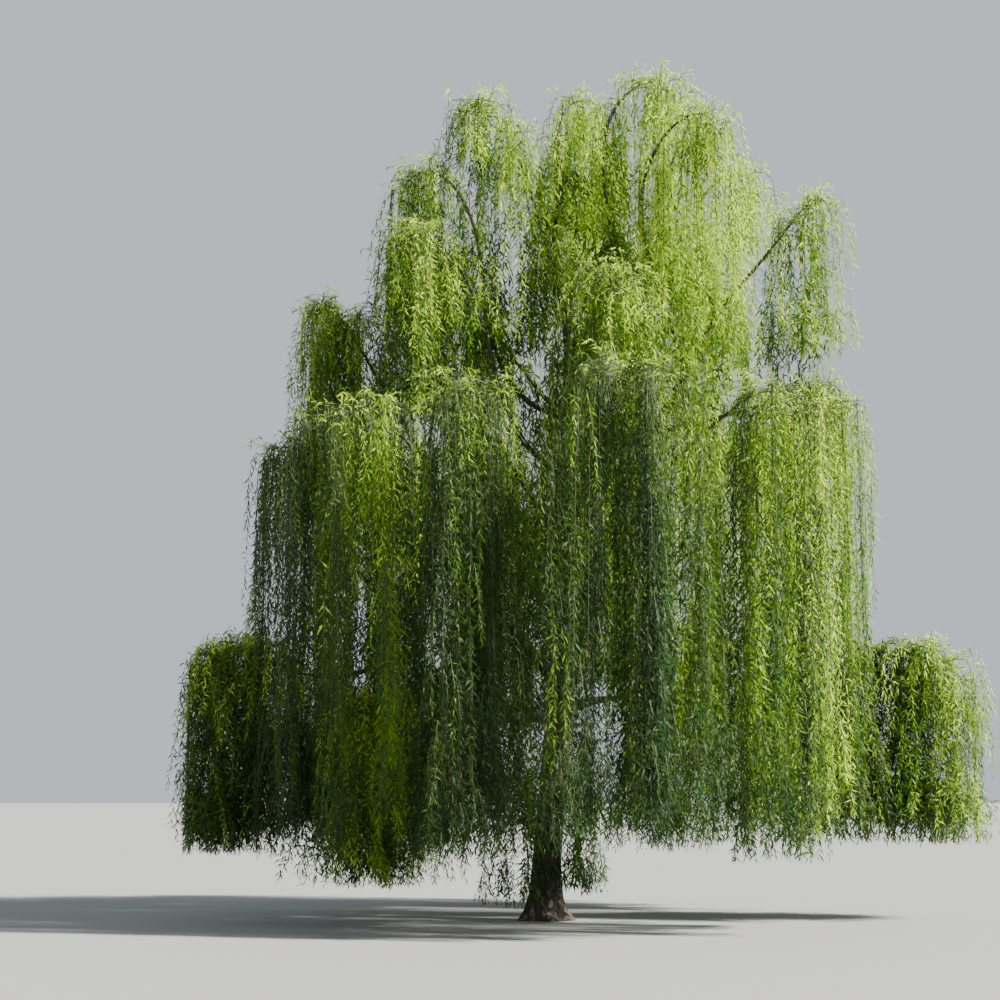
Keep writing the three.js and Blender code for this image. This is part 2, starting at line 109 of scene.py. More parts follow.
bpy.ops.mesh.primitive_grid_add(
    x_subdivisions=FLOOR_SQUARES, y_subdivisions=FLOOR_SQUARES, size=FLOOR_SIZE, location=FLOOR_PLACE
)
floor = bpy.context.object
floor.name = "studio_floor"
floor.data.materials.append(new_material("pale_floor", 0.9, FLOOR_COLOUR)[0])
print("floor", FLOOR_SIZE, "m wide")

# %% Set the sun and the sky
SUN_FROM = Vector((0.80, -0.22, 0.80))
SUN_DISTANCE = 20
SUN_STRENGTH = 20.0
SUN_COLOUR = (1.0, 0.96, 0.88)
SUN_SOFTNESS = 3
SKY_COLOUR = (0.80, 0.88, 0.95, 1)
SKY_STRENGTH = 0.78

bpy.ops.object.light_add(type="SUN", location=SUN_FROM * SUN_DISTANCE)
sun = bpy.context.object
sun.rotation_euler = (-SUN_FROM).to_track_quat("-Z", "Y").to_euler()
sun.data.energy = SUN_STRENGTH
sun.data.color = SUN_COLOUR
sun.data.angle = math.radians(SUN_SOFTNESS)
sky = bpy.data.worlds.new("pale_sky")
bpy.context.scene.world = sky
sky.use_nodes = True
background = sky.node_tree.nodes["Background"]
background.inputs["Color"].default_value = SKY_COLOUR
background.inputs["Strength"].default_value = SKY_STRENGTH
print("sun strength", SUN_STRENGTH, "sky strength", SKY_STRENGTH)

# %% [markdown]
# ## The plan of the tree
# The solids were grown by a rule from a short table: four leaders, and masses that each have a limb to grow
# from, an azimuth, a reach, a crest and a hem. The same table and the same rule are written here again, so
# that the fine twigs grow where the coarse ones are. Azimuths are degrees from +X towards +Y.

# %% The table of leaders and masses
# leader: name, parent, share along it, root radius, tip radius, taper, [azimuth, reach, height] on its way
LEADERS = [
    (
        "leader_main", "trunk", 1.0, 0.165, 0.024, 0.42,
        [(10, 0.44, 3.6), (8, 0.33, 5.3), (0, 0.19, 6.9), (170, 0.17, 8.15)],
    ),
    (
        "leader_right", "leader_main", 0.12, 0.092, 0.021, 0.7,
        [(-6, 0.76, 4.2), (-4, 1.33, 5.5), (0, 1.96, 6.65), (0, 2.52, 7.35)],
    ),
    (
        "leader_left", "leader_main", 0.03, 0.088, 0.022, 0.7,
        [(200, 0.48, 3.25), (188, 1.0, 4.3), (184, 1.5, 5.3), (182, 1.98, 6.15)],
    ),
    (
        "leader_back", "leader_main", 0.08, 0.085, 0.022, 0.7,
        [(80, 0.62, 3.7), (78, 1.02, 5.0), (76, 1.3, 6.4), (74, 1.46, 7.75)],
    ),
]

# mass: name, limb, share along it, azimuth, reach, crest, hem, arch, spread, and how its bough bows
BOUGH_BOW, SKIRT_BOW = 0.38, 0.9
MASSES = [
    ("plume_west", "leader_main", 1.0, 216, 0.72, 9.08, 6.3, 0.9, 0.52, BOUGH_BOW),
    ("plume_middle", "leader_main", 0.86, 63, 0.95, 9.42, 7.0, 0.7, 0.48, BOUGH_BOW),
    ("plume_crest", "leader_main", 0.7, 6, 1.27, 9.43, 6.3, 0.7, 0.47, 0.2),
    ("plume_east", "leader_right", 0.66, -27.6, 1.84, 8.74, 6.0, 0.7, 0.43, BOUGH_BOW),
    ("plume_far_east", "leader_right", 0.8, 22.5, 2.48, 8.59, 6.4, 0.7, 0.4, BOUGH_BOW),
    ("plume_outer_east", "leader_right", 1.0, 0, 2.93, 8.15, 5.5, 0.7, 0.29, BOUGH_BOW),
    ("plume_far_west", "leader_main", 0.54, 151, 1.56, 8.57, 5.7, 0.76, 0.45, 0.1),
    ("plume_low_west", "leader_main", 0.42, 206, 1.5, 7.45, 4.9, 0.76, 0.42, 0.15),
    ("plume_outer_west", "leader_left", 1.0, 180, 2.26, 6.9, 4.1, 0.76, 0.42, BOUGH_BOW),
    ("plume_front", "leader_main", 0.46, -62, 1.35, 6.9, 4.5, 0.9, 0.52, BOUGH_BOW),
    ("plume_back", "leader_back", 1.0, 74, 1.61, 8.55, 5.5, 0.9, 0.54, BOUGH_BOW),
    ("plume_back_left", "leader_back", 0.6, 123, 2.02, 7.7, 4.9, 0.9, 0.54, BOUGH_BOW),
    ("plume_back_right", "leader_back", 0.7, 36, 2.2, 7.7, 4.9, 0.9, 0.52, BOUGH_BOW),
    ("curtain_right", "leader_right", 0.5, 0, 2.78, 5.95, 1.0, 0.86, 0.48, BOUGH_BOW),
    ("curtain_front_right", "leader_right", 0.3, -36, 2.7, 5.6, 0.85, 1.0, 0.52, BOUGH_BOW),
    ("curtain_front", "leader_main", 0.3, -72, 2.45, 5.65, 1.05, 1.0, 0.56, BOUGH_BOW),
    ("curtain_front_left", "leader_main", 0.24, -108, 2.35, 5.55, 0.85, 1.0, 0.56, BOUGH_BOW),
    ("curtain_left_front", "leader_left", 0.4, -144, 2.35, 5.45, 0.85, 1.0, 0.52, BOUGH_BOW),
    ("curtain_left", "leader_left", 0.55, 180, 2.48, 5.3, 1.1, 0.9, 0.5, BOUGH_BOW),
    ("curtain_left_back", "leader_left", 0.28, 144, 2.4, 5.35, 0.95, 1.0, 0.52, BOUGH_BOW),
    ("curtain_back_left", "leader_back", 0.27, 108, 2.45, 5.55, 0.9, 1.0, 0.56, BOUGH_BOW),
    ("curtain_back_right", "leader_back", 0.36, 72, 2.55, 5.7, 1.0, 1.0, 0.56, BOUGH_BOW),
    ("curtain_right_back", "leader_right", 0.2, 36, 2.65, 5.65, 0.9, 1.0, 0.52, BOUGH_BOW),
    ("skirt_right", "leader_right", 0.1, 2, 3.78, 3.15, 0.95, 1.4, 0.56, SKIRT_BOW),
    ("skirt_left", "leader_left", 0.2, 181, 3.15, 3.15, 0.85, 1.3, 0.44, SKIRT_BOW),
    ("skirt_front_left", "trunk", 0.93, 208, 1.9, 2.45, 0.55, 0.9, 0.42, SKIRT_BOW),
    ("skirt_back_left", "trunk", 0.87, 122, 2.3, 2.8, 0.75, 1.0, 0.48, SKIRT_BOW),
    ("skirt_back_right", "trunk", 0.9, 54, 2.4, 2.9, 0.8, 1.0, 0.48, SKIRT_BOW),
    ("tuft_front_left", "trunk", 0.7, 224, 0.76, 1.5, 0.18, 0.42, 0.21, None),
    ("tuft_front_right", "trunk", 0.64, 318, 0.56, 1.4, 0.43, 0.36, 0.19, None),
]
mass_names = [row[0] for row in MASSES]
print(len(LEADERS), "leaders,", len(MASSES), "masses")

# %% [markdown]
# ## Lines to grow along
# Every limb follows a smooth line: a Bezier curve with four handles, or a line through given places. Each
# line is kept as 200 even steps, so that a share of its length is easy to look up. A tiny generator of
# chances, seeded for each twig, gives the same tree every time.

# %% Helpers for lines
STEPS = 200
STEPS_BETWEEN_PLACES = 80
SEED_STEP, FIRST_STATE = 7919, 104729
UP = np.array((0.0, 0.0, 1.0))


def outward(azimuth):
    angle = math.radians(azimuth)
    return np.array((math.cos(angle), math.sin(angle), 0.0))


def even(points):
    """The same line in STEPS even steps."""
    gaps = np.linalg.norm(np.diff(points, axis=0), axis=1)
    length = np.concatenate(([0.0], np.cumsum(gaps)))
    at = np.linspace(0, length[-1], STEPS + 1)
    return np.stack([np.interp(at, length, points[:, axis]) for axis in range(3)], axis=1)


def bezier(a, b, c, d):
    t = np.linspace(0, 1, STEPS * 2)[:, None]
    return even((1 - t) ** 3 * a + 3 * (1 - t) ** 2 * t * b + 3 * (1 - t) * t**2 * c + t**3 * d)


def through(places):
    """A centripetal line through places, with each end carried on by one mirrored place."""
    p = [2 * places[0] - places[1], *places, 2 * places[-1] - places[-2]]
    line = []
    for a, b, c, d in zip(p, p[1:], p[2:], p[3:]):
        ab, bc, cd = (np.linalg.norm(v) ** 0.5 for v in (b - a, c - b, d - c))
        leave = ((b - a) / ab - (c - a) / (ab + bc) + (c - b) / bc) * bc
        arrive = ((c - b) / bc - (d - b) / (bc + cd) + (d - c) / cd) * bc
        t = np.linspace(0, 1, STEPS_BETWEEN_PLACES)[:, None]
        line.append(
            (2 * t**3 - 3 * t**2 + 1) * b
            + (t**3 - 2 * t**2 + t) * leave
            + (3 * t**2 - 2 * t**3) * c
            + (t**3 - t**2) * arrive
        )
    return even(np.concatenate(line))


def at_share(line, share):
    place = share * (len(line) - 1)
    low = min(int(place), len(line) - 2)
    return line[low] + (line[low + 1] - line[low]) * (place - low)


def length_of(line):
    """A line's length, or that of each line in an array of them."""
    return np.linalg.norm(np.diff(line, axis=-2), axis=-1).sum(axis=-1)


def end_direction(line):
    step = line[-1] - line[-2]
    return step / np.linalg.norm(step)


def dice(seed):
    """A seeded generator of shares from 0 to 1."""
    multiplier, modulus = 16807, 2147483647
    state = (seed * SEED_STEP + FIRST_STATE) % modulus

    def roll():
        nonlocal state
        state = (state * multiplier) % modulus
        return state / modulus

    return roll


print("a line has", STEPS, "steps")

# %% [markdown]
# ## Where the limbs run
# The trunk leans a little as it rises to the fork. The main leader goes on from its top, and three more
# leave its side. Most masses hang from a bough of their own, four plumes go on from the ends of leaders,
# and the two small tufts grow straight from the trunk. Only the lines and their thickness are worked out
# here. The surface comes next.

# %% Work out the lines of the limbs
FORK_HEIGHT, TRUNK_LEAN = 2.3, 0.19
TRUNK_UPRIGHT_TO, TRUNK_BEND_AT, TRUNK_BEND_LEAN = 0.3, 0.66, 0.55
TRUNK_RADIUS, FLARE_RADIUS, FLARE_HEIGHT = 0.165, 0.30, 0.17
TRUNK_WAIST = 0.06
LEADER_START = 0.26

limbs = {}
trunk_line = bezier(
    np.array((0.0, 0.0, 0.0)),
    np.array((0.0, 0.0, FORK_HEIGHT * TRUNK_UPRIGHT_TO)),
    np.array((TRUNK_LEAN * TRUNK_BEND_LEAN, 0.0, FORK_HEIGHT * TRUNK_BEND_AT)),
    np.array((TRUNK_LEAN, 0.0, FORK_HEIGHT)),
)


def trunk_radius(share):
    waist = 1 - TRUNK_WAIST * math.sin(math.pi * share)
    flare = math.exp(-share * FORK_HEIGHT / FLARE_HEIGHT)
    return TRUNK_RADIUS * waist + (FLARE_RADIUS - TRUNK_RADIUS) * flare


def tapering(root, tip, taper):
    """A limb's radius, as a rule from the share along it."""
    return lambda share: root + (tip - root) * share**taper


limbs["trunk"] = (trunk_line, trunk_radius)
for name, parent, share, root, tip, taper, places in LEADERS:
    start = at_share(limbs[parent][0], share)
    on_the_way = [outward(azimuth) * reach + UP * height for azimuth, reach, height in places]
    if share == 1:
        onward = start + end_direction(limbs[parent][0]) * LEADER_START
        on_the_way = [onward, *on_the_way]
    limbs[name] = (through([start, *on_the_way]), tapering(root, tip, taper))
print("leaders end at", {n: [round(float(v), 2) for v in limbs[n][0][-1]] for n in limbs})

# %% Work out the boughs and the stems of the masses
BOUGH_ROOT_SHARE, BOUGH_ROOT_MIN = 0.55, 0.027
BOUGH_TIP_SHARE, BOUGH_TIP, BOUGH_TAPER = 0.7, 0.020, 0.7
BOUGH_OUT, BOUGH_END, BOUGH_END_RISE = 0.5, 0.22, 0.3
LEAST_CLIMB, MOST_CLIMB = 0.1, 0.95
STEM_TIP_RADIUS, STEM_TAPER = 0.005, 0.5
STEM_INNER_SHARE, STEM_INNER_LEAST = 0.55, 0.45
STEM_RISE_SHARE, STEM_DROP_SHARE = 0.42, 0.55
STEM_LEAD, STEM_CREST_OUT, STEM_CREST_UP, STEM_END_OUT = 0.75, 0.3, 0.12, 0.45
TUFT_STEM_RADIUS, TUFT_STEM_RISE = 0.024, 0.5


def bough_line(root, azimuth, reach, crest, arch, bow):
    out = outward(azimuth)
    inner = max(reach - arch * STEM_INNER_SHARE, reach * STEM_INNER_LEAST)
    tip = out * inner + UP * (crest - arch * STEM_RISE_SHARE)
    span = np.linalg.norm(tip - root)
    level = (tip - root) * (1, 1, 0)
    level = level / np.linalg.norm(level)
    climb = min(max((tip[2] - root[2]) / span, LEAST_CLIMB), MOST_CLIMB)
    first = root + level * span * BOUGH_OUT * (1 - bow) + UP * span * bow * climb
    second = tip - out * span * BOUGH_END - UP * span * BOUGH_END_RISE * climb
    return bezier(root, first, second, tip)


def stem_line(start, direction, azimuth, reach, crest, arch):
    out = outward(azimuth)
    top = out * reach + UP * crest
    lead = start + direction * np.linalg.norm(top - start) * STEM_LEAD
    over = top + out * arch * STEM_CREST_OUT + UP * arch * STEM_CREST_UP
    end = top + out * arch * STEM_END_OUT - UP * arch * STEM_DROP_SHARE
    return bezier(start, lead, over, end)


stems = {}
for name, parent, share, azimuth, reach, crest, hem, arch, spread, bow in MASSES:
    line, radius = limbs[parent]
    root = at_share(line, share)
    if bow is None:
        direction = outward(azimuth) + UP * TUFT_STEM_RISE
        direction = direction / np.linalg.norm(direction)
        start, thick = root, TUFT_STEM_RADIUS
    elif share == 1:
        direction, start, thick = end_direction(line), line[-1], radius(1)
    else:
        bough_root = max(BOUGH_ROOT_MIN, radius(share) * BOUGH_ROOT_SHARE)
        thick = min(BOUGH_TIP, bough_root * BOUGH_TIP_SHARE)
        bough = bough_line(root, azimuth, reach, crest, arch, bow)
        limbs[name + "_bough"] = (bough, tapering(bough_root, thick, BOUGH_TAPER))
        direction, start = end_direction(bough), bough[-1]
    stem = stem_line(start, direction, azimuth, reach, crest, arch)
    stems[name] = (stem, tapering(thick, STEM_TIP_RADIUS, STEM_TAPER))
print(len(limbs), "limbs and", len(stems), "stems")

# %% [markdown]
# ## The trunk and limbs under bark
# An old willow's trunk is round but not smooth: it swells into root ridges at the ground, and its bark is
# cut by long furrows that cross. The trunk starts as a circle that is pulled up ring by ring, as a potter
# pulls a wall. The limbs are curves with a round section. Voxel remeshing then melts the trunk and the low
# ends of the leaders into one skin, and the rest of the leaders into a second, with soft crotches that no
# set of separate tubes would give. The boughs and the stems of the masses are thin, and keep their round
# section.

# %% Pull up the trunk
TRUNK_SIDES = 48
RING_SPACING = 0.05
ROOT_LOBES, LOBE_DEPTH, LOBE_TURN = 5, 0.16, 0.6


def select_only(*objects):
    """Leave edit mode and select these objects alone, the last of them as the active one."""
    if bpy.context.object and bpy.context.object.mode != "OBJECT":
        bpy.ops.object.mode_set(mode="OBJECT")
    bpy.ops.object.select_all(action="DESELECT")
    for obj in objects:
        obj.select_set(True)
        bpy.context.view_layer.objects.active = obj


select_only()
bpy.ops.mesh.primitive_circle_add(
    vertices=TRUNK_SIDES, radius=trunk_radius(0), fill_type="NGON", location=(0, 0, 0)
)
trunk = bpy.context.object
trunk.name = "trunk_bark"
bpy.ops.object.mode_set(mode="EDIT")
bpy.ops.mesh.select_all(action="SELECT")
rings = round(FORK_HEIGHT / RING_SPACING)
for ring in range(1, rings + 1):
    below, here = at_share(trunk_line, (ring - 1) / rings), at_share(trunk_line, ring / rings)
    grow = trunk_radius(ring / rings) / trunk_radius((ring - 1) / rings)
    bpy.ops.mesh.extrude_region_move(TRANSFORM_OT_translate={"value": tuple(here - below)})
    bpy.ops.transform.resize(value=(grow, grow, 1), center_override=tuple(here))
bpy.ops.object.mode_set(mode="OBJECT")
for vertex in trunk.data.vertices:
    share = min(max(vertex.co.z / FORK_HEIGHT, 0), 1)
    centre = at_share(trunk_line, share)
    flare = math.exp(-vertex.co.z / FLARE_HEIGHT)
    angle = math.atan2(vertex.co.y - centre[1], vertex.co.x - centre[0])
    lobe = 1 + LOBE_DEPTH * flare * math.cos(ROOT_LOBES * angle + LOBE_TURN)
    vertex.co.x = centre[0] + (vertex.co.x - centre[0]) * lobe
    vertex.co.y = centre[1] + (vertex.co.y - centre[1]) * lobe
print("trunk", len(trunk.data.vertices), "vertices in", rings, "rings")

# %% Draw the limbs as round curves
LOW_SHARE = {"leader_main": 0.24, "leader_right": 0.16, "leader_left": 0.18, "leader_back": 0.16}
SKINS_OVERLAP_FROM = 0.93
CURVE_POINTS = 30
STEM_BARK_TO, STEM_BARK_POINTS = 0.5, 8


def round_curve(name, runs):
    """One curve object with a round section, holding a run of points and radii for each limb."""
    select_only()
    bpy.ops.curve.primitive_nurbs_path_add(location=(0, 0, 0))
    obj = bpy.context.object
    obj.name = name
    obj.data.splines.clear()
    for points, radii in runs:
        spline = obj.data.splines.new("POLY")
        spline.points.add(len(points) - 1)
        for point, place, radius in zip(spline.points, points, radii):
            point.co = (*place, 1)
            point.radius = radius
    obj.data.dimensions = "3D"
    obj.data.bevel_depth = 1
    obj.data.bevel_resolution = 2
    obj.data.use_fill_caps = True
    bpy.ops.object.convert(target="MESH")
    return bpy.context.object


def run_of(limb, first, last, count=CURVE_POINTS):
    """Points and radii along a limb, from one share of it to another."""
    line, radius = limb
    shares = np.linspace(first, last, count)
    return [at_share(line, s) for s in shares], [radius(s) for s in shares]


low_limbs = round_curve("low_limbs", [run_of(limbs[n], 0, share) for n, share in LOW_SHARE.items()])
high_runs = [run_of(limbs[n], share * SKINS_OVERLAP_FROM, 1) for n, share in LOW_SHARE.items()]
limb_skin = round_curve("limb_bark", high_runs)
bough_nodes = [n for n in limbs if n not in LOW_SHARE and n != "trunk"]
bough_runs = [run_of(limbs[n], 0, 1) for n in bough_nodes]
bough_runs += [run_of(stem, 0, STEM_BARK_TO, STEM_BARK_POINTS) for stem in stems.values()]
boughs = round_curve("bough_bark", bough_runs)
select_only(low_limbs, trunk)
bpy.ops.object.join()
print("trunk with low limbs", len(trunk.data.vertices), "vertices; boughs", len(boughs.data.vertices))

# %% [markdown]
# ## Relief of the bark
# The furrows run along each limb, so they can't be one pattern in space. For each point of the skin the
# nearest limb is looked up, and the pattern is read at the point's place round that limb and along it,
# drawn out four times along. Fine ridges are laid over broad ones. Stout limbs are furrowed deeply and thin
# ones hardly.

# %% Melt each skin into one and press the furrows in
FURROW_WIDTH = 0.034
FURROW_STRETCH = 0.24
FURROW_SHARE = 0.075
DEEPEST_FURROW = 0.012
FURROWS_FROM = 0.012
TRUNK_VOXEL, LIMB_VOXEL = 0.0145, 0.0162
LIMB_SHIFT = 7.3
RIDGES_SUNK = 0.75
SMOOTH_ROUNDS, SMOOTH_FACTOR = 4, 0.5

# layer of ridges: how fine, how sharp, share of the relief, where its pattern starts
RIDGES = [(0.62, 2.4, 0.65, Vector((0, 0, 0))), (1.55, 2.2, 0.35, Vector((3.1, 8.2, 1.7)))]

limb_tree = kdtree.KDTree(len(limbs) * (STEPS + 1))
limb_samples = []
for number, (line, radius) in enumerate(limbs.values()):
    for step in range(STEPS + 1):
        limb_tree.insert(line[step], len(limb_samples))
        limb_samples.append((number, line[step], radius(step / STEPS), step))
limb_tree.balance()
limb_lengths = [float(length_of(line)) for line, _ in limbs.values()]
limb_axes = [Vector(line[-1] - line[0]).normalized() for line, _ in limbs.values()]


def melt(obj, voxel):
    select_only(obj)
    remesh = obj.modifiers.new("one skin", "REMESH")
    remesh.mode = "VOXEL"
    remesh.voxel_size = voxel
    bpy.ops.object.modifier_apply(modifier=remesh.name)
    smooth = obj.modifiers.new("soft crotches", "SMOOTH")
    smooth.iterations = SMOOTH_ROUNDS
    smooth.factor = SMOOTH_FACTOR
    bpy.ops.object.modifier_apply(modifier=smooth.name)


def furrow(point):
    """How far the bark stands out at a point of the skin, or lies in where it is less than nothing."""
    _, index, _ = limb_tree.find(point)
    number, centre, radius, step = limb_samples[index]
    off = point - Vector(centre)
    axis = limb_axes[number]
    along = limb_lengths[number] * step / STEPS + off.dot(axis)
    seat = (off - axis * off.dot(axis)) / FURROW_WIDTH + Vector((number * LIMB_SHIFT, 0, 0))
    seat += axis * (along * FURROW_STRETCH / FURROW_WIDTH)
    relief = 0
    for fineness, sharpness, share, first in RIDGES:
        relief += share * (1 - abs(noise.noise(seat * fineness + first)) * sharpness)
    return min(radius * FURROW_SHARE, DEEPEST_FURROW) * (relief - RIDGES_SUNK)


def press_furrows(obj):
    moves = [v.normal * furrow(v.co) for v in obj.data.vertices]
    for vertex, move in zip(obj.data.vertices, moves):
        if vertex.co.z > FURROWS_FROM:
            vertex.co += move
        vertex.co.z = max(vertex.co.z, 0.0)


def smooth_faces(obj):
    obj.data.polygons.foreach_set("use_smooth", [True] * len(obj.data.polygons))
    obj.data.update()


for skin, voxel in ((trunk, TRUNK_VOXEL), (limb_skin, LIMB_VOXEL), (boughs, None)):
    if voxel:
        melt(skin, voxel)
    press_furrows(skin)
    smooth_faces(skin)
    print(skin.name, sum(len(face.vertices) - 2 for face in skin.data.polygons), "triangles")

# %% [markdown]
# ## The colour of the bark
# The bark is grey-brown, with paler and near-black flecks in it. The pattern reads object coordinates,
# drawn out upwards. A fine bump adds the corky grain that the mesh is too coarse to hold.

# %% Mix the bark
FLECKS_STRETCH = (1, 1, 0.22)

# bark: place on the ramp, colour
BARK_DARK = (0.34, (0.016, 0.012, 0.009, 1))
BARK_MIDDLE = (0.5, (0.046, 0.037, 0.027, 1))
BARK_PALE = (0.68, (0.105, 0.087, 0.067, 1))

bark, shader, nodes, links = new_material("furrowed_bark", 0.93)
coordinates = nodes.new("ShaderNodeTexCoord")
stretch = nodes.new("ShaderNodeMapping")
stretch.inputs["Scale"].default_value = FLECKS_STRETCH
links.new(coordinates.outputs["Object"], stretch.inputs["Vector"])
flecks = nodes.new("ShaderNodeTexNoise")
flecks.inputs["Scale"].default_value = 26
flecks.inputs["Detail"].default_value = 8
flecks.inputs["Roughness"].default_value = 0.62
links.new(stretch.outputs["Vector"], flecks.inputs["Vector"])
tone = nodes.new("ShaderNodeValToRGB")
dark, pale = tone.color_ramp.elements
dark.position, dark.color = BARK_DARK
pale.position, pale.color = BARK_PALE
tone.color_ramp.elements.new(BARK_MIDDLE[0]).color = BARK_MIDDLE[1]
links.new(flecks.outputs["Fac"], tone.inputs["Fac"])
links.new(tone.outputs["Color"], shader.inputs["Base Color"])
grain = nodes.new("ShaderNodeBump")
grain.inputs["Strength"].default_value = 0.55
grain.inputs["Distance"].default_value = 0.006
links.new(flecks.outputs["Fac"], grain.inputs["Height"])
links.new(grain.outputs["Normal"], shader.inputs["Normal"])

for skin, replaced in ((trunk, ["trunk"]), (limb_skin, list(LOW_SHARE)), (boughs, bough_nodes)):
    skin.data.materials.clear()
    skin.data.materials.append(bark)
    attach(skin, "root")
    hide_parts(*replaced)
print("bark on", trunk.name, limb_skin.name, "and", boughs.name)

# %% [markdown]
# ## Withes
# A willow's crown is built of withes: thin, limp shoots that leave a stem sideways, arch over and hang
# straight down. The solids have a few of them in each mass. Here the same rule deals out many more from the
# same seeds, and the first ones are the same as in the solids. The further ones of a plume end at any
# height, which makes it ragged, and those of a curtain or skirt hang low and may stay nearer its middle,
# which closes it.

# %% The withe rule of the solids
# kind: withes in a mass, how wide they spread round the tree, degrees to each side, how unevenly they end
KINDS = {
    "plume": (18, 1.0, 180, 0.6),
    "curtain": (30, 2.0, 19, 0.38),
    "skirt": (20, 1.0, 180, 0.38),
    "tuft": (8, 1.0, 180, 0.38),
}

# how many times as many withes a mass has as others of its kind
FULLER = {
    "plume_west": 1.3, "plume_far_east": 0.7, "plume_outer_east": 0.75, "plume_low_west": 1.4,
    "plume_outer_west": 1.9, "plume_back": 0.85, "plume_back_right": 0.75, "curtain_right": 1.6,
    "curtain_front_right": 1.3, "curtain_front": 1.5, "curtain_front_left": 1.25, "curtain_left_front": 1.25,
    "curtain_left": 1.7, "curtain_left_back": 1.2, "curtain_back_left": 1.1, "skirt_right": 2.3,
    "skirt_left": 2.4, "skirt_front_left": 1.5,
}
CAD_WITHES, LEAD_WITHES = 6, 11
SEEDS_PER_MASS = 512
ALONG_STEP, ALONG_START = 0.7548776662, 0.31
TURN_STEP, TURN_START = 0.569840291, 0.17
FIRST_WITHE, WITHE_RANGE = 0.14, 0.8
LEAST_SPREAD = 0.35
LEAST_LIFT, LIFT_RANGE = 0.1, 0.2
ARCH_AT, ARCH_DROP = 0.55, 0.5
FOOT_DRIFT, HEM_BIAS = 0.06, 1.5

# the further withes. The lower a mass's number, the nearer to its stem's end they root.
FURTHER_OUT = {
    "curtain_right": 0.3, "curtain_left": 0.3, "skirt_right": 0.45, "skirt_left": 0.45, "plume_outer_west": 1,
}
FURTHER_OUT_ELSEWHERE = 0.6
PLUME_UNEVEN, PLUME_DRAWN_IN, PLUME_DRIFT = 0.9, 0.6, 0.1
FURTHER_MIDDLE, FURTHER_UNEVEN = 0.8, 0.55
CORNER_CUTS, CORNER_CUT = 2, 0.25


def kind_of(row):
    return row[0].split("_")[0]


def withe_path(row, number, seed, further):
    """The four places of a withe. A further one isn't in the solids, and fills out the mass."""
    name, _, _, azimuth, _, crest, hem, _, spread, _ = row
    _, wide, _, uneven = KINDS[kind_of(row)]
    chance = dice(seed * SEEDS_PER_MASS + number)
    along = (ALONG_START + number * ALONG_STEP) % 1
    if further:
        along = along ** FURTHER_OUT.get(name, FURTHER_OUT_ELSEWHERE)
    along = FIRST_WITHE + WITHE_RANGE * along
    turn = 2 * math.pi * ((TURN_START + number * TURN_STEP) % 1)
    root = at_share(stems[name][0], along)
    side = outward(azimuth) * math.cos(turn) + outward(azimuth + 90) * wide * math.sin(turn)
    away = spread * (LEAST_SPREAD + (1 - LEAST_SPREAD) * math.sqrt(chance()))
    lift = away * (LEAST_LIFT + LIFT_RANGE * chance())
    over = root + side * away * ARCH_AT
    over[2] = min(root[2] + lift, crest)
    edge = root + side * away
    edge[2] = over[2] - away * ARCH_DROP
    foot = edge + side * FOOT_DRIFT * chance()
    foot[2] = hem + (edge[2] - hem) * uneven * chance() ** HEM_BIAS
    if further and kind_of(row) == "plume":
        foot[2] = hem + (edge[2] - hem) * PLUME_UNEVEN * chance()
        edge[:2] += (root - edge)[:2] * PLUME_DRAWN_IN * chance()
        foot[:2] = edge[:2] + side[:2] * PLUME_DRIFT
    elif further:
        middle = root + outward(azimuth) * (side @ outward(azimuth)) * away
        nearer = FURTHER_MIDDLE * chance()
        for place in (over, edge, foot):
            place[:2] += (middle - place)[:2] * nearer
        foot[2] = hem + (foot[2] - hem) * FURTHER_UNEVEN
    return np.array((root, over, edge, foot))


def rounded(path):
    """A withe's four places with their corners cut again and again, so that it bends in an arch."""
    for _ in range(CORNER_CUTS):
        cut = [path[0]]
        for a, b in zip(path, path[1:]):
            cut += [a * (1 - CORNER_CUT) + b * CORNER_CUT, a * CORNER_CUT + b * (1 - CORNER_CUT)]
        path = np.array([*cut, path[-1]])
    return path


def in_sector(row, foot, most):
    """Whether a withe's foot lies within so many degrees of the middle of its mass, seen from above."""
    turn = math.degrees(math.atan2(foot[1], foot[0])) - row[3]
    return abs((turn + 180) % 360 - 180) <= most


# %% [markdown]
# ## Ropes
# Left alone, so many withes would hang as an even veil. On the tree they catch on each other and gather
# into ropes, with dark upright gaps between. The first withes of each mass lead, and each further one is
# drawn more than halfway to the nearest of them.

# %% Grow the withes of each mass
TRIES_PER_WITHE = 6
FINE_SECTOR = 24
GATHER = 0.62

withes = []
rope_of_withe = []
for seed, row in enumerate(MASSES):
    kind = kind_of(row)
    usual, _, sector, _ = KINDS[kind]
    wanted = round(usual * FULLER.get(row[0], 1))
    leads = []
    made = 0
    for number in range(wanted * TRIES_PER_WITHE):
        path = withe_path(row, number, seed, kind != "tuft" and len(leads) >= CAD_WITHES)
        most = sector if len(leads) < CAD_WITHES else max(sector, FINE_SECTOR)
        if made >= wanted or not in_sector(row, path[-1], most):
            continue
        if len(leads) < LEAD_WITHES:
            rope = len(leads)
            leads.append(path)
        else:
            rope = min(range(LEAD_WITHES), key=lambda k: np.linalg.norm(leads[k][2] - path[2]))
            path[2:, :2] += (leads[rope][2:, :2] - path[2:, :2]) * GATHER
            path[1, :2] += (leads[rope][1, :2] - path[1, :2]) * GATHER / 2
        rope_of_withe.append(seed * LEAD_WITHES + rope)
        withes.append((kind, row[6], rounded(path)))
        made += 1
print(len(withes), "withes on the masses")

# %% [markdown]
# ## Shoots along the limbs
# Between the big masses a willow carries short leafy shoots all along its upper limbs. They fill the middle
# of the crown, so that it isn't a hollow cage of curtains. They grow as the withes do: sideways, over and
# down. Those under the curtains and the right skirt are longer, and closer where the crown would be thin.

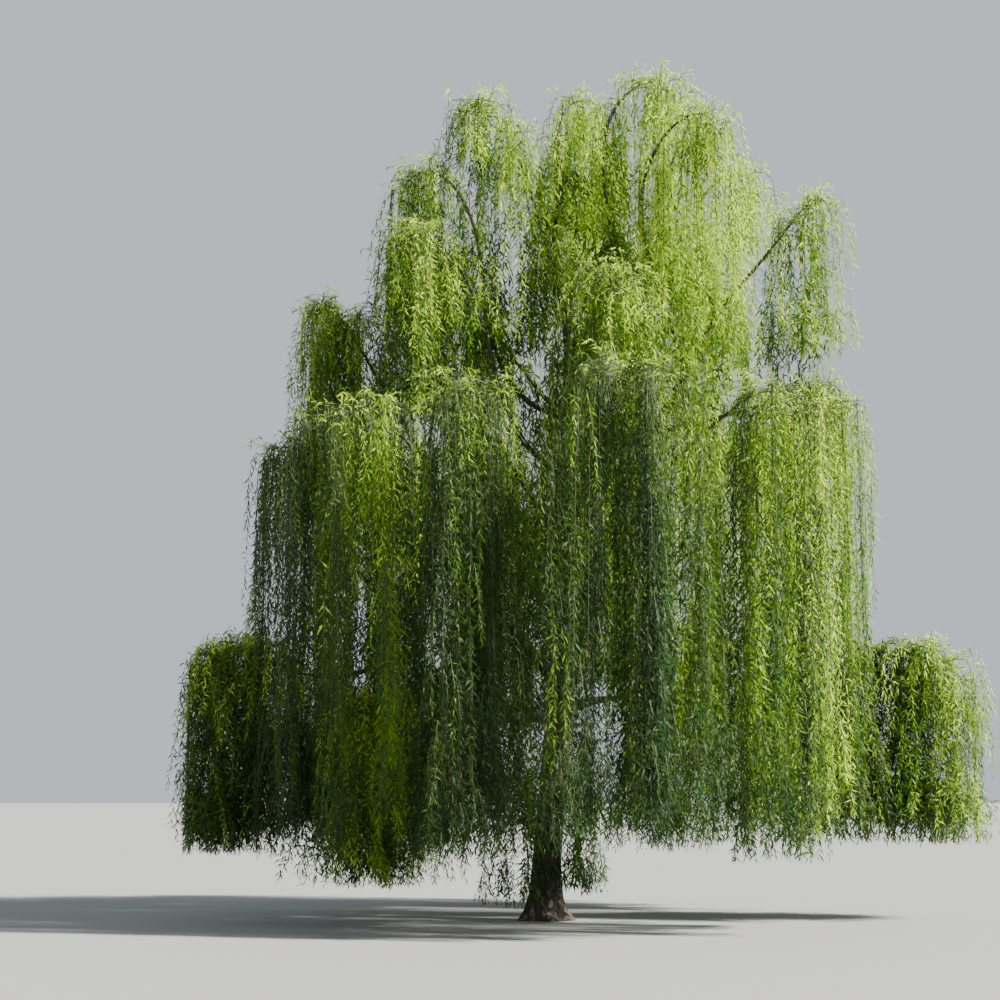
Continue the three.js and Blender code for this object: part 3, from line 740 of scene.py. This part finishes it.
# %% Grow shoots on the limbs
SHOOT_SEED = 2193
SHOOT_SPACING = 0.25
LAST_SHOOT, SHOOT_JITTER, LIMB_END = 0.98, 0.05, 0.99
NEAREST_SHOOT, SHORTEST_SHOOT, LEAST_HANG = 0.16, 0.5, 0.3
SHOOT_ARCH_AT, SHOOT_LIFT, SHOOT_DROP, SHOOT_DRIFT = 0.6, (0.1, 0.35), 0.25, 0.04
SHOOT_HEM = 0.1

# kind of limb: share along it of the first shoot, how much closer they stand, farthest, longest, lowest
SHOOTS = {
    "leader": (0.2, 1, 0.42, 1.3, 1.7),
    "plume": (0.1, 1, 0.42, 1.3, 1.7),
    "curtain": (0.1, 1.6, 0.42, 2.9, 1.7),
    "skirt": (0.35, 1, 0.55, 1.9, 1.0),
}
CLOSER_SHOOTS = {
    "skirt_right_bough": 4, "leader_left": 3.4, "leader_right": 1.3, "curtain_front_bough": 2.4,
    "plume_crest_bough": 2.4, "plume_middle_bough": 2.4, "plume_east_bough": 1.6,
}
rng = np.random.default_rng(SHOOT_SEED)
ropes = len(MASSES) * LEAD_WITHES
for number, name in enumerate(limbs):
    if name == "trunk" or (name.startswith("skirt") and name != "skirt_right_bough"):
        continue
    first, closer, farthest, longest, lowest = SHOOTS[name.split("_")[0]]
    line = limbs[name][0]
    spacing = SHOOT_SPACING / CLOSER_SHOOTS.get(name, closer)
    for share in np.arange(first, LAST_SHOOT, spacing / length_of(line)):
        root = at_share(line, min(share + rng.uniform(0, SHOOT_JITTER), LIMB_END))
        side = outward(rng.uniform(0, 360))
        away = rng.uniform(NEAREST_SHOOT, farthest)
        over = root + side * away * SHOOT_ARCH_AT + UP * away * rng.uniform(*SHOOT_LIFT)
        edge = root + side * away - UP * away * SHOOT_DROP
        foot = edge + side * SHOOT_DRIFT - UP * rng.uniform(SHORTEST_SHOOT, longest)
        foot[2] = max(foot[2], lowest)
        if edge[2] - foot[2] > LEAST_HANG:
            path = rounded(np.array((root, over, edge, foot)))
            withes.append(("shoot", foot[2] - SHOOT_HEM, path))
            rope_of_withe.append(ropes + number)
print(len(withes), "withes with the shoots")

# %% [markdown]
# ## Strands
# Each withe and each stem carries side shoots in clumps along its whole length. They swing out by a hand's
# breadth or more and hang down again, mostly less than a metre. The clumps look like feathers, and the gaps
# between the ropes give the curtains their dark upright streaks. Some at the crests stand up instead, and
# one that would swing out of the solids' box swings inward. The strands of a withe are worked out together,
# as one array with four points each.

# %% Hang the strands on the withes
# kind: metres between clumps, strands in each, how far they swing out, the most that they hang down
CLUMPS = {
    "plume": (0.46, 2.0, 0.24, 0.85),
    "curtain": (0.88, 1.7, 0.19, 1.30),
    "skirt": (0.40, 2.2, 0.42, 0.70),
    "tuft": (0.34, 2.2, 0.11, 0.55),
    "shoot": (0.60, 1.6, 0.20, 0.95),
    "stem": (0.11, 2.0, 0.19, 0.60),
}
END_CLUMPS = ((0.09,), (0.90, 0.97))
CLUMP_PLACE, CLUMP_SIZE, STRAND_SCATTER = (0.2, 0.8), (0.5, 1.5), 0.04
FIRST_STRAND, LAST_STRAND = 0.03, 0.99
STRAND_TURN, TURN_JITTER, ONE_TURN = 2.2, 0.6, 6.28
SWINGS, LIFTS, DROPS, SWAY = (0.3, 1.0), (0.1, 0.5), (0.45, 1.0), 0.04
OVER_AT, DOWN_AT, TIP_OUT = 0.6, 0.3, 1.1
STRAND_BELOW_HEM, STRAND_BELOW_FOOT, LEAST_DROP = 0.12, 0.16, 0.16
LOWEST_LEAF = 0.2
STRAND_PROUD = 0.1

# the upright ones, with how far out and up each of their further places is
UPRIGHT_SHARE, UPRIGHT_DEPTH, UPRIGHT_SIZES = 0.28, 0.15, (0.6, 1.5)
UPRIGHT_PLACES = ((0.04, 0.08), (0.10, 0.13), (0.21, 0.10))
STEM_STRANDS_FROM, STEM_HEM = 0.2, 0.6
strands_from = np.array(cad_low) - STRAND_PROUD
strands_to = np.array(cad_high) + STRAND_PROUD


def place_on(curve, share):
    """The points at shares of a curve's length."""
    gaps = np.linalg.norm(np.diff(curve, axis=0), axis=1)
    at = np.concatenate(([0.0], np.cumsum(gaps))) / gaps.sum()
    return np.stack([np.interp(share, at, curve[:, axis]) for axis in range(3)], axis=1)


def strands_of(kind, hem, curve):
    """The four places of each strand on a withe, and the number of the clump that it is in."""
    spacing, in_each, swing, hang = CLUMPS[kind]
    length = length_of(curve)
    clumps = max(round(length / spacing), 2)
    centre = (np.arange(clumps) + rng.uniform(*CLUMP_PLACE, clumps)) / clumps
    if kind != "stem":
        centre = np.concatenate((END_CLUMPS[0], centre, END_CLUMPS[1]))
    many = in_each * rng.uniform(*CLUMP_SIZE, len(centre)) + rng.uniform(0, 1, len(centre))
    many = np.maximum(many.astype(int), 1)
    share = np.repeat(centre, many) + rng.uniform(-STRAND_SCATTER, STRAND_SCATTER, many.sum()) / length
    share = np.clip(share, FIRST_STRAND, LAST_STRAND)
    count = len(share)
    start = place_on(curve, share)
    turn = np.arange(count) * STRAND_TURN + rng.uniform(-TURN_JITTER, TURN_JITTER, count)
    turn += rng.uniform(0, ONE_TURN)
    side = np.stack((np.cos(turn), np.sin(turn), np.zeros(count)), axis=1)
    away = rng.uniform(*SWINGS, count) * swing
    reached = start + side * away[:, None]
    beyond = np.any((reached < strands_from) | (reached > strands_to), axis=1)
    side = np.where(beyond[:, None], -side, side)
    lift = away * rng.uniform(*LIFTS, count)
    drop = rng.uniform(*DROPS, count) * hang
    lowest = max(hem - STRAND_BELOW_HEM, curve[-1][2] - STRAND_BELOW_FOOT, LOWEST_LEAF)
    drop = np.minimum(drop, np.maximum(start[:, 2] - lowest, LEAST_DROP))
    sway = np.concatenate((rng.uniform(-SWAY, SWAY, (count, 2)), np.zeros((count, 1))), axis=1)
    places = [
        start + side * (away * OVER_AT)[:, None] + UP * lift[:, None],
        start + side * away[:, None] - UP * (drop * DOWN_AT)[:, None],
        start + side * (away * TIP_OUT)[:, None] - UP * drop[:, None] + sway,
    ]
    upright = (rng.uniform(0, 1, count) < UPRIGHT_SHARE) & (kind not in ("tuft", "shoot"))
    upright &= start[:, 2] > curve[0][2] - UPRIGHT_DEPTH
    tall = rng.uniform(*UPRIGHT_SIZES, count)[:, None]
    for number, (out, rise) in enumerate(UPRIGHT_PLACES):
        standing = start + side * out + UP * rise * tall
        places[number] = np.where(upright[:, None], standing, places[number])
    return np.stack((start, *places), axis=1), np.repeat(np.arange(len(centre)), many)


for stem in stems.values():
    stem_curve = np.array(run_of(stem, STEM_STRANDS_FROM, 1, len(withes[0][2]))[0])
    withes.append(("stem", stem_curve[-1][2] - STEM_HEM, stem_curve))
    rope_of_withe.append(ropes)
bundles = [strands_of(*withe) for withe in withes]
strands = np.concatenate([points for points, _ in bundles])
strand_withe = np.repeat(np.arange(len(withes)), [len(points) for points, _ in bundles])
clumps_before = np.concatenate(((0,), np.cumsum([clump[-1] + 1 for _, clump in bundles])))
strand_clump = np.concatenate([clump for _, clump in bundles]) + clumps_before[strand_withe]
strand_lengths = length_of(strands)
print(len(strands), "strands,", round(float(strand_lengths.sum())), "m in all")

# %% [markdown]
# ## Twigs as a mesh
# Thousands of thin tubes would be slow to model one by one, so they are written as arrays: a ring of three
# or more corners at each point of each line, joined into faces, and closed by a point at the end.

# %% Helpers that make tubes and meshes from arrays
NEARLY_NOTHING = 1e-9
STEEP = 0.8


def directions(ways):
    """The same ways, each one metre long."""
    return ways / np.maximum(np.linalg.norm(ways, axis=-1, keepdims=True), NEARLY_NOTHING)


def tubes(lines, radii, sides):
    """Closed tubes that end in points. lines has the shape (count, points, 3), radii (count, points)."""
    count, points, _ = lines.shape
    tangent = directions(np.gradient(lines, axis=1))
    reference = np.where(np.abs(tangent[:, :, 2:]) > STEEP, (1.0, 0.0, 0.0), (0.0, 0.0, 1.0))
    first = directions(np.cross(tangent, reference))
    for k in range(1, points):
        before, here = first[:, k - 1], tangent[:, k]
        first[:, k] = directions(before - here * (before * here).sum(axis=1, keepdims=True))
    second = np.cross(tangent, first)
    angle = np.arange(sides) / sides * 2 * math.pi
    across = first[:, :-1, None] * np.cos(angle)[:, None] + second[:, :-1, None] * np.sin(angle)[:, None]
    rings = lines[:, :-1, None] + across * radii[:, :-1, None, None]
    verts = np.concatenate((rings.reshape(count, -1, 3), lines[:, -1:]), axis=1)
    per = verts.shape[1]
    faces = []
    for k in range(points - 2):
        for s in range(sides):
            a, b = k * sides + s, k * sides + (s + 1) % sides
            faces += [(a, b, b + sides), (a, b + sides, a + sides)]
    last = (points - 2) * sides
    faces += [(last + s, last + (s + 1) % sides, per - 1) for s in range(sides)]
    faces += [(0, s + 1, s) for s in range(1, sides - 1)]
    faces = (np.array(faces)[None] + (np.arange(count) * per)[:, None, None]).reshape(-1, 3)
    return verts.reshape(-1, 3), faces


def mesh_object(name, verts, faces, material):
    """A triangle mesh from arrays, as an object that rides on the tree."""
    mesh = bpy.data.meshes.new(name)
    mesh.vertices.add(len(verts))
    mesh.vertices.foreach_set("co", np.ascontiguousarray(verts, np.float32).ravel())
    mesh.loops.add(faces.size)
    mesh.loops.foreach_set("vertex_index", np.ascontiguousarray(faces, np.int32).ravel())
    mesh.polygons.add(len(faces))
    mesh.polygons.foreach_set("loop_start", np.arange(0, faces.size, 3, dtype=np.int32))
    mesh.materials.append(material)
    mesh.update(calc_edges=True)
    obj = bpy.data.objects.new(name, mesh)
    bpy.context.scene.collection.objects.link(obj)
    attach(obj, "root")
    print(name, len(faces), "triangles")
    return obj


# %% Make the twigs
STEM_SIDES, TWIG_SIDES = 6, 3
STEM_TWIG_FROM, STEM_POINTS = 0.3, 12
WITHE_POINTS = [0, 2, 4, 6, 8, 10, 12, 15]
WITHE_RADII, STRAND_RADII = (0.0058, 0.0026), (0.0034, 0.0016)
STRANDS_PARTED_AT = 4.6

olive_twig = new_material("olive_twig", 0.6, (0.075, 0.090, 0.020))[0]
brown_twig = new_material("brown_twig", 0.8, (0.038, 0.044, 0.014))[0]
stem_runs = [run_of(stem, STEM_TWIG_FROM, 1, STEM_POINTS) for stem in stems.values()]
stem_lines, stem_radii = (np.array(column) for column in zip(*stem_runs))
withe_curves = np.array([curve for _, _, curve in withes])
hanging = np.array([kind != "stem" for kind, _, _ in withes])
withe_lines = withe_curves[hanging][:, WITHE_POINTS]
withe_radii = np.tile(np.linspace(*WITHE_RADII, len(WITHE_POINTS)), (len(withe_lines), 1))
stem_verts, stem_faces = tubes(stem_lines, stem_radii, STEM_SIDES)
withe_verts, withe_faces = tubes(withe_lines, withe_radii, TWIG_SIDES)
twig_verts = np.concatenate((stem_verts, withe_verts))
twig_faces = np.concatenate((stem_faces, withe_faces + len(stem_verts)))
twigs = [mesh_object("withes", twig_verts, twig_faces, brown_twig)]
strand_radii = np.tile(np.linspace(*STRAND_RADII, strands.shape[1]), (len(strands), 1))
high = strands[:, 0, 2] > STRANDS_PARTED_AT
for name, some in (("strands_upper", high), ("strands_lower", ~high)):
    verts, faces = tubes(strands[some], strand_radii[some], TWIG_SIDES)
    twigs.append(mesh_object(name, verts, faces, olive_twig))
for piece in twigs:
    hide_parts(*mass_names)

# %% [markdown]
# ## Leaves
# A willow leaf is a narrow blade, many times as long as wide, that leaves its twig at a slant and droops.
# Each leaf here has two faces: a short one from its foot to its widest place, and a long one on to its tip,
# bent down where they meet. They are worked out all at once as arrays, and stand on the strands and,
# further apart, on the withes.
#
# A real crown this size has far more leaves than a mesh can hold. The ones that are seen best are on the
# strands that stand out of the crown, and those keep their real size. A strand near the middle of its
# neighbours hides among them, and only closes the crown against the light, so it gets fewer and larger
# leaves.

# %% Find which strands stand out and which hide inside
NEIGHBOUR_REACH = 0.45
HIDES_BETWEEN = (0.11, 0.40)
POINTS_IN_PARTS = 40


def standing_out(points, among):
    """The way from the middle of the neighbours to each point, in reaches: long outside, short inside."""
    found = []
    for some in np.array_split(points, POINTS_IN_PARTS):
        gap = (some**2).sum(axis=1)[:, None] + (among**2).sum(axis=1)[None] - 2 * some @ among.T
        near = np.exp(-gap / NEIGHBOUR_REACH**2)
        found.append(some - near @ among / near.sum(axis=1, keepdims=True))
    return np.concatenate(found) / NEIGHBOUR_REACH


strand_middles = strands.mean(axis=1)
withe_middles = withe_curves.mean(axis=1)
strand_out = standing_out(strand_middles, strand_middles)
withe_out = standing_out(withe_middles, strand_middles)
strand_hides, withe_hides = (
    np.interp(np.linalg.norm(out, axis=1), HIDES_BETWEEN, (1, 0)) for out in (strand_out, withe_out)
)
print("share of the strands that hide inside", strand_hides.mean().round(2))

# %% Deal the leaves out along the twigs
LEAVES_WANTED = 404000
WITHE_LEAF_SPACING = 0.04
LEAST_LEAVES = 5
HIDDEN_THINNER = 0.40
FIRST_LEAF, TOWARD_THE_TIP = 0.04, 0.8


def deal(lines, per_line):
    """Feet and directions for leaves along lines, the line each is on, its number there and its share."""
    owner = np.repeat(np.arange(len(lines)), per_line)
    order = np.arange(len(owner)) - np.repeat(np.cumsum(per_line) - per_line, per_line)
    share = ((order + rng.uniform(0, 1, len(order))) / per_line[owner]) ** TOWARD_THE_TIP
    share = FIRST_LEAF + (1 - FIRST_LEAF) * share
    gaps = np.linalg.norm(np.diff(lines, axis=1), axis=2)
    at = np.concatenate((np.zeros((len(lines), 1)), np.cumsum(gaps, axis=1)), axis=1)
    at /= at[:, -1:]
    segment = (share[:, None] >= at[owner][:, 1:-1]).sum(axis=1)
    low, high = at[owner, segment], at[owner, segment + 1]
    within = (share - low) / np.maximum(high - low, NEARLY_NOTHING)
    a, b = lines[owner, segment], lines[owner, segment + 1]
    return a + (b - a) * within[:, None], directions(b - a), owner, order, share


on_withes = deal(withe_curves, (length_of(withe_curves) / WITHE_LEAF_SPACING).astype(int))
left = LEAVES_WANTED - len(on_withes[0])
wanted = strand_lengths * (1 - HIDDEN_THINNER * strand_hides)
on_strands = deal(strands, np.maximum((wanted / wanted.sum() * left).astype(int), LEAST_LEAVES))
foot, along, owner, order, share = (np.concatenate(both) for both in zip(on_strands, on_withes))
print(len(foot), "leaves,", len(on_strands[0]), "of them on the strands")

# %% Turn, bend and size each leaf
LEAF_LENGTH, LEAF_WIDTH, WIDEST_AT = 0.078, 0.0128, 0.38
INSIDE_SIZE, OUTSIDE_SIZE = 2.0, 1.12
SIZES, TIP_LEAVES_FROM, TIP_LEAF_SIZE = (0.75, 1.2), 0.93, 0.75
GOLDEN_TURN, LINE_TURN = 2.399963, 1.7
LEANS, SAG, TWIST, MOST_DROOP = (20, 92), 0.18, 0.8, 0.8

count = len(foot)
turn = order * GOLDEN_TURN + rng.uniform(-TURN_JITTER, TURN_JITTER, count) + owner * LINE_TURN
radial = np.stack((np.cos(turn), np.sin(turn), np.zeros(count)), axis=1)
radial = directions(radial - along * (radial * along).sum(axis=1, keepdims=True))
lean = np.radians(rng.uniform(*LEANS, count))[:, None]
direction = along * np.cos(lean) + radial * np.sin(lean)
direction[:, 2] -= SAG
direction = directions(direction)
across = directions(np.cross(direction, radial))
twist = rng.normal(0, TWIST, count)[:, None]
across = across * np.cos(twist) + np.cross(across, direction) * np.sin(twist)
size = rng.uniform(*SIZES, count) * np.where(share > TIP_LEAVES_FROM, TIP_LEAF_SIZE, 1.0)
hides = np.concatenate((strand_hides[on_strands[2]], withe_hides[on_withes[2]]))
size = (size * (OUTSIDE_SIZE + (INSIDE_SIZE - OUTSIDE_SIZE) * hides))[:, None]
length, half = LEAF_LENGTH * size, LEAF_WIDTH * size / 2
middle = foot + direction * length * WIDEST_AT
droop = direction.copy()
droop[:, 2] -= rng.uniform(0.0, MOST_DROOP, count)
tip = middle + directions(droop) * length * (1 - WIDEST_AT)
leaf_verts = np.stack((foot, middle + across * half, middle - across * half, tip), axis=1)
print("leaves from", leaf_verts.min(axis=(0, 1)).round(2), "to", leaf_verts.max(axis=(0, 1)).round(2))

# %% [markdown]
# ## The colour of the leaves, with painted light and shade
# Light and shade are painted into the tints. A strand gets a lighter yellow-green tint, as painted sunlight,
# the further right and higher it hangs, the nearer it is to the crest of its withe and the further it stands
# out of its neighbours towards the sun. It gets a deeper green one, as painted shade, inside the crown, low
# down, on the shaded left and in masses that others shade, and a lighter one in a few masses, as painted
# light. The chances of its rope, its withe, its clump and itself vary the tint at random. Every tint is one
# piece with one plain colour. A leaf is thin, so its material mixes a satin surface with light that comes
# through from behind.

# %% Deal the tints out by strand
# the five tints are lit and shaded copies of one green: deep and shade are painted shade, bright and pale
# painted sunlight
# tint: name, colour of the surface, colour of the light that comes through
TINTS = [
    ("deep", (0.021, 0.049, 0.018), (0.045, 0.12, 0.022)),
    ("shade", (0.038, 0.083, 0.018), (0.08, 0.18, 0.016)),
    ("middle", (0.072, 0.150, 0.012), (0.16, 0.32, 0.012)),
    ("bright", (0.165, 0.300, 0.013), (0.33, 0.56, 0.015)),
    ("pale", (0.410, 0.590, 0.055), (0.70, 0.92, 0.09)),
]
TINT_SHARES = (0.235, 0.235, 0.23, 0.175, 0.125)
TINT_SEED = 77

# painted shade, how much darker the strands of a mass are where others shade it; painted light, how much
# lighter, where less than nothing
IN_SHADE = {
    "plume_outer_east": 0.32, "plume_far_east": 0.16, "plume_low_west": 0.20, "plume_outer_west": -0.12,
    "plume_far_west": 0.22, "plume_west": 0.24, "curtain_front": 0.18, "curtain_front_left": 0.15,
    "curtain_front_right": 0.05, "curtain_left": -0.10, "curtain_left_front": -0.14, "curtain_right": 0.04,
    "skirt_left": -0.26, "skirt_front_left": -0.45, "skirt_right": 0.22,
}

# how much more than others the ropes of a mass differ in tint
STREAKED = {
    "plume_crest": 1.5, "curtain_right": 1.9, "curtain_front_right": 1.7, "curtain_front": 1.2,
    "curtain_left_front": 1.7, "curtain_left": 1.5, "skirt_right": 1.5, "skirt_left": 1.6,
    "skirt_front_left": 1.7,
}

# how much chance adds for each rope, withe, clump and strand, and for the leaves on a withe itself
ROPE_CHANCE, WITHE_CHANCE, CLUMP_CHANCE, STRAND_CHANCE, OWN_CHANCE = 0.14, 0.08, 0.18, 0.09, 0.05

# painted light: how much lighter the tint gets to the right and upwards, in half the crown's width, and what
# else paints light on a strand
RIGHT_LIT, HIGH_LIT, CROWN_MIDDLE, HALF_CROWN = 0.22, 0.34, 4.5, 3.5
# painted light at the crest of each withe and on strands that stand out towards the sun; painted shade on
# strands inside their neighbours
CREST_LIT, CREST_DEPTH = 0.22, 0.5
SUN_LIT, OUTSIDE_LIT = 0.45, 0.30

tint_rng = np.random.default_rng(TINT_SEED)
rope_chance = tint_rng.normal(0, ROPE_CHANCE, max(rope_of_withe) + 1)
for seed, name in enumerate(mass_names):
    of_mass = slice(seed * LEAD_WITHES, (seed + 1) * LEAD_WITHES)
    # each rope gets a random tint, wider in a streaked mass, less the painted shade of its mass
    rope_chance[of_mass] = rope_chance[of_mass] * STREAKED.get(name, 1) - IN_SHADE.get(name, 0)
withe_chance = rope_chance[rope_of_withe] + tint_rng.normal(0, WITHE_CHANCE, len(withes))
sun_way = np.array(SUN_FROM.normalized())
withe_tops = withe_curves[:, :, 2].max(axis=1)


def painted_light_and_chance(points, out, withe, jitter):
    """How light the tint is at points that stand out of their neighbours, each on its withe: painted light
    and shade, with chance added.
    """
    place = RIGHT_LIT * points[:, 0] / HALF_CROWN + HIGH_LIT * (points[:, 2] - CROWN_MIDDLE) / HALF_CROWN
    place += CREST_LIT * np.exp((points[:, 2] - withe_tops[withe]) / CREST_DEPTH)
    lit = SUN_LIT * out @ sun_way + OUTSIDE_LIT * np.linalg.norm(out, axis=1)
    return place + lit + withe_chance[withe] + tint_rng.normal(0, jitter, len(points))


clump_chance = tint_rng.normal(0, CLUMP_CHANCE, clumps_before[-1])
strand_bright = painted_light_and_chance(strand_middles, strand_out, strand_withe, STRAND_CHANCE)
strand_bright += clump_chance[strand_clump]
withe_bright = painted_light_and_chance(withe_middles, withe_out, np.arange(len(withes)), OWN_CHANCE)
leaf_bright = np.concatenate((strand_bright[on_strands[2]], withe_bright[on_withes[2]]))
limits = np.quantile(leaf_bright, np.cumsum(TINT_SHARES)[:-1])
tint_of_leaf = np.searchsorted(limits, leaf_bright, side="right")
print("leaves of each tint", np.bincount(tint_of_leaf))


# %% Make the leaves, a piece for each tint
LEAF_ROUGHNESS, LEAF_SHINE, TRANSLUCENT_SHARE = 0.55, 0.18, 0.34
LEAF_CORNERS = 4
LEAF_FACES = np.array(((0, 1, 2), (1, 3, 2)))


def leaf_material(name, colour, lit):
    material, shader, nodes, links = new_material(name, LEAF_ROUGHNESS, colour)
    shader.inputs["Specular IOR Level"].default_value = LEAF_SHINE
    through_light = nodes.new("ShaderNodeBsdfTranslucent")
    through_light.inputs["Color"].default_value = (*lit, 1)
    both = nodes.new("ShaderNodeMixShader")
    both.inputs["Fac"].default_value = TRANSLUCENT_SHARE
    links.new(shader.outputs["BSDF"], both.inputs[1])
    links.new(through_light.outputs["BSDF"], both.inputs[2])
    links.new(both.outputs["Shader"], nodes["Material Output"].inputs["Surface"])
    return material


for number, (tint, colour, lit) in enumerate(TINTS):
    chosen = leaf_verts[tint_of_leaf == number]
    faces = (np.arange(len(chosen))[:, None, None] * LEAF_CORNERS + LEAF_FACES).reshape(-1, 3)
    material = leaf_material("leaf_" + tint, colour, lit)
    piece = mesh_object("leaves_" + tint, chosen.reshape(-1, 3), faces, material)
    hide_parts(*mass_names)
